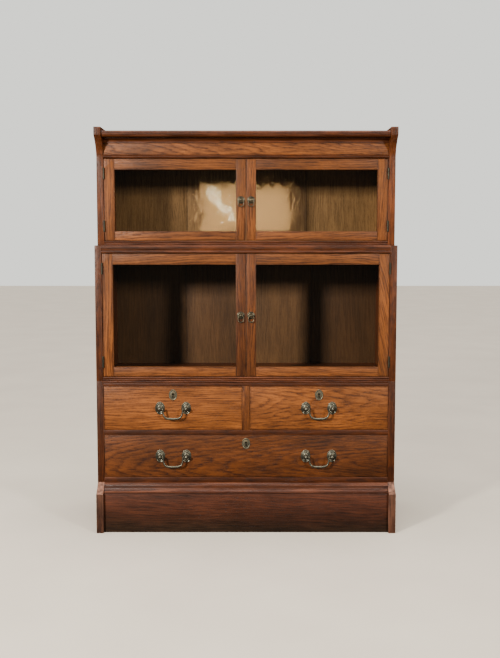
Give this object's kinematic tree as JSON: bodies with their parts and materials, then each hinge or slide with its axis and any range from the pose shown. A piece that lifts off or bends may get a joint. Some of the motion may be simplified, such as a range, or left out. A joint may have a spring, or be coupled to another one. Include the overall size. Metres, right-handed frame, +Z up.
{
  "type": "barrister bookcase",
  "caption": "Oak sectional bookcase: a shallower glazed case with curved cheeks over a deeper glazed case, short and long drawers and a moulded plinth.",
  "frame": {"origin": "on the floor, under the middle of the overall width and depth", "axes": "+X to the right of someone facing the front, -Y out of the front, +Z up"},
  "size_m": [0.864, 0.354, 1.164],
  "materials": {
    "case_oak": "waxed, dark",
    "door_oak": "waxed",
    "panel_wood": "matt",
    "lining_wood": "bare",
    "glass": "clear",
    "light_brass": "worn",
    "dark_brass": "tarnished"
  },
  "bodies": {
    "carcass": {"plinth_cheek_left": "case_oak", "plinth_cheek_right": "case_oak", "plinth_board": "case_oak", "plinth_moulding": "case_oak", "plinth_frame": "lining_wood", "drawer_case_side_left": "case_oak", "drawer_case_side_right": "case_oak", "drawer_case_top": "case_oak", "drawer_case_bottom": "case_oak", "drawer_dividers": "case_oak", "drawer_runners": "lining_wood", "middle_case_side_left": "case_oak", "middle_case_side_right": "case_oak", "middle_case_top": "case_oak", "middle_case_bottom": "case_oak", "upper_cheek_left": "case_oak", "upper_cheek_right": "case_oak", "upper_case_top": "case_oak", "upper_case_bottom": "case_oak", "cornice_cap": "case_oak", "frieze": "case_oak", "back_panels": "panel_wood", "case_hinges": "light_brass", "locating_dowels": "lining_wood"},
    "door_upper_left": {"door_upper_left_frame": "door_oak", "door_upper_left_glass": "glass", "door_upper_left_brassware": "light_brass"},
    "door_upper_left_bolt": {"door_upper_left_bolt": "dark_brass"},
    "door_upper_left_ring": {"door_upper_left_ring": "light_brass"},
    "door_upper_right": {"door_upper_right_frame": "door_oak", "door_upper_right_glass": "glass", "door_upper_right_brassware": "light_brass"},
    "door_upper_right_catch": {"door_upper_right_catch": "light_brass"},
    "door_upper_right_ring": {"door_upper_right_ring": "light_brass"},
    "door_middle_left": {"door_middle_left_frame": "door_oak", "door_middle_left_glass": "glass", "door_middle_left_brassware": "light_brass"},
    "door_middle_left_bolt": {"door_middle_left_bolt": "dark_brass"},
    "door_middle_left_ring": {"door_middle_left_ring": "light_brass"},
    "door_middle_right": {"door_middle_right_frame": "door_oak", "door_middle_right_glass": "glass", "door_middle_right_brassware": "light_brass"},
    "door_middle_right_catch": {"door_middle_right_catch": "light_brass"},
    "door_middle_right_ring": {"door_middle_right_ring": "light_brass"},
    "drawer_left": {"drawer_left_front": "door_oak", "drawer_left_box": "lining_wood", "drawer_left_fittings": "dark_brass"},
    "drawer_left_lock_bolt": {"drawer_left_lock_bolt": "dark_brass"},
    "drawer_left_bail": {"drawer_left_bail": "dark_brass"},
    "drawer_right": {"drawer_right_front": "door_oak", "drawer_right_box": "lining_wood", "drawer_right_fittings": "dark_brass"},
    "drawer_right_lock_bolt": {"drawer_right_lock_bolt": "dark_brass"},
    "drawer_right_bail": {"drawer_right_bail": "dark_brass"},
    "drawer_long": {"drawer_long_front": "door_oak", "drawer_long_box": "lining_wood", "drawer_long_fittings": "dark_brass"},
    "drawer_long_lock_bolt": {"drawer_long_lock_bolt": "dark_brass"},
    "drawer_long_bail_left": {"drawer_long_bail_left": "dark_brass"},
    "drawer_long_bail_right": {"drawer_long_bail_right": "dark_brass"}
  },
  "joints": [
    {"name": "door_upper_left_hinge", "type": "hinge", "parent": "carcass", "child": "door_upper_left", "pos_m": [-0.41125, -0.084, 0.96], "axis": [0, 0, -1], "range_deg": [0, 150]},
    {"name": "door_upper_left_bolt_slide", "type": "slide", "parent": "door_upper_left", "child": "door_upper_left_bolt", "axis": [0, 0, 1], "range_m": [0, 0.007]},
    {"name": "door_upper_left_ring_swing", "type": "hinge", "parent": "door_upper_left", "child": "door_upper_left_ring", "pos_m": [-0.01475, -0.088, 0.96], "axis": [-1, 0, 0], "range_deg": [0, 120]},
    {"name": "door_upper_right_hinge", "type": "hinge", "parent": "carcass", "child": "door_upper_right", "pos_m": [0.41125, -0.084, 0.96], "axis": [0, 0, 1], "range_deg": [0, 150]},
    {"name": "door_upper_right_catch_turn", "type": "hinge", "parent": "door_upper_right", "child": "door_upper_right_catch", "pos_m": [0.01475, -0.0815, 0.96], "axis": [0, 1, 0], "range_deg": [0, 90]},
    {"name": "door_upper_right_ring_swing", "type": "hinge", "parent": "door_upper_right_catch", "child": "door_upper_right_ring", "pos_m": [0.01475, -0.088, 0.96], "axis": [-1, 0, 0], "range_deg": [0, 120]},
    {"name": "door_middle_left_hinge", "type": "hinge", "parent": "carcass", "child": "door_middle_left", "pos_m": [-0.41125, -0.142, 0.629], "axis": [0, 0, -1], "range_deg": [0, 150]},
    {"name": "door_middle_left_bolt_slide", "type": "slide", "parent": "door_middle_left", "child": "door_middle_left_bolt", "axis": [0, 0, 1], "range_m": [0, 0.007]},
    {"name": "door_middle_left_ring_swing", "type": "hinge", "parent": "door_middle_left", "child": "door_middle_left_ring", "pos_m": [-0.01475, -0.146, 0.629], "axis": [-1, 0, 0], "range_deg": [0, 120]},
    {"name": "door_middle_right_hinge", "type": "hinge", "parent": "carcass", "child": "door_middle_right", "pos_m": [0.41125, -0.142, 0.629], "axis": [0, 0, 1], "range_deg": [0, 150]},
    {"name": "door_middle_right_catch_turn", "type": "hinge", "parent": "door_middle_right", "child": "door_middle_right_catch", "pos_m": [0.01475, -0.1395, 0.629], "axis": [0, 1, 0], "range_deg": [0, 90]},
    {"name": "door_middle_right_ring_swing", "type": "hinge", "parent": "door_middle_right_catch", "child": "door_middle_right_ring", "pos_m": [0.01475, -0.146, 0.629], "axis": [-1, 0, 0], "range_deg": [0, 120]},
    {"name": "drawer_left_slide", "type": "slide", "parent": "carcass", "child": "drawer_left", "axis": [0, -1, 0], "range_m": [0, 0.22]},
    {"name": "drawer_left_lock_bolt_slide", "type": "slide", "parent": "drawer_left", "child": "drawer_left_lock_bolt", "axis": [0, 0, 1], "range_m": [0, 0.007]},
    {"name": "drawer_left_bail_swing", "type": "hinge", "parent": "drawer_left", "child": "drawer_left_bail", "pos_m": [-0.21125, -0.1565, 0.35975], "axis": [-1, 0, 0], "range_deg": [0, 100]},
    {"name": "drawer_right_slide", "type": "slide", "parent": "carcass", "child": "drawer_right", "axis": [0, -1, 0], "range_m": [0, 0.22]},
    {"name": "drawer_right_lock_bolt_slide", "type": "slide", "parent": "drawer_right", "child": "drawer_right_lock_bolt", "axis": [0, 0, 1], "range_m": [0, 0.007]},
    {"name": "drawer_right_bail_swing", "type": "hinge", "parent": "drawer_right", "child": "drawer_right_bail", "pos_m": [0.21125, -0.1565, 0.35975], "axis": [-1, 0, 0], "range_deg": [0, 100]},
    {"name": "drawer_long_slide", "type": "slide", "parent": "carcass", "child": "drawer_long", "axis": [0, -1, 0], "range_m": [0, 0.22]},
    {"name": "drawer_long_lock_bolt_slide", "type": "slide", "parent": "drawer_long", "child": "drawer_long_lock_bolt", "axis": [0, 0, 1], "range_m": [0, 0.007]},
    {"name": "drawer_long_bail_left_swing", "type": "hinge", "parent": "drawer_long", "child": "drawer_long_bail_left", "pos_m": [-0.21125, -0.1565, 0.21875], "axis": [-1, 0, 0], "range_deg": [0, 100]},
    {"name": "drawer_long_bail_right_swing", "type": "hinge", "parent": "drawer_long", "child": "drawer_long_bail_right", "pos_m": [0.21125, -0.1565, 0.21875], "axis": [-1, 0, 0], "range_deg": [0, 100]}
  ]
}
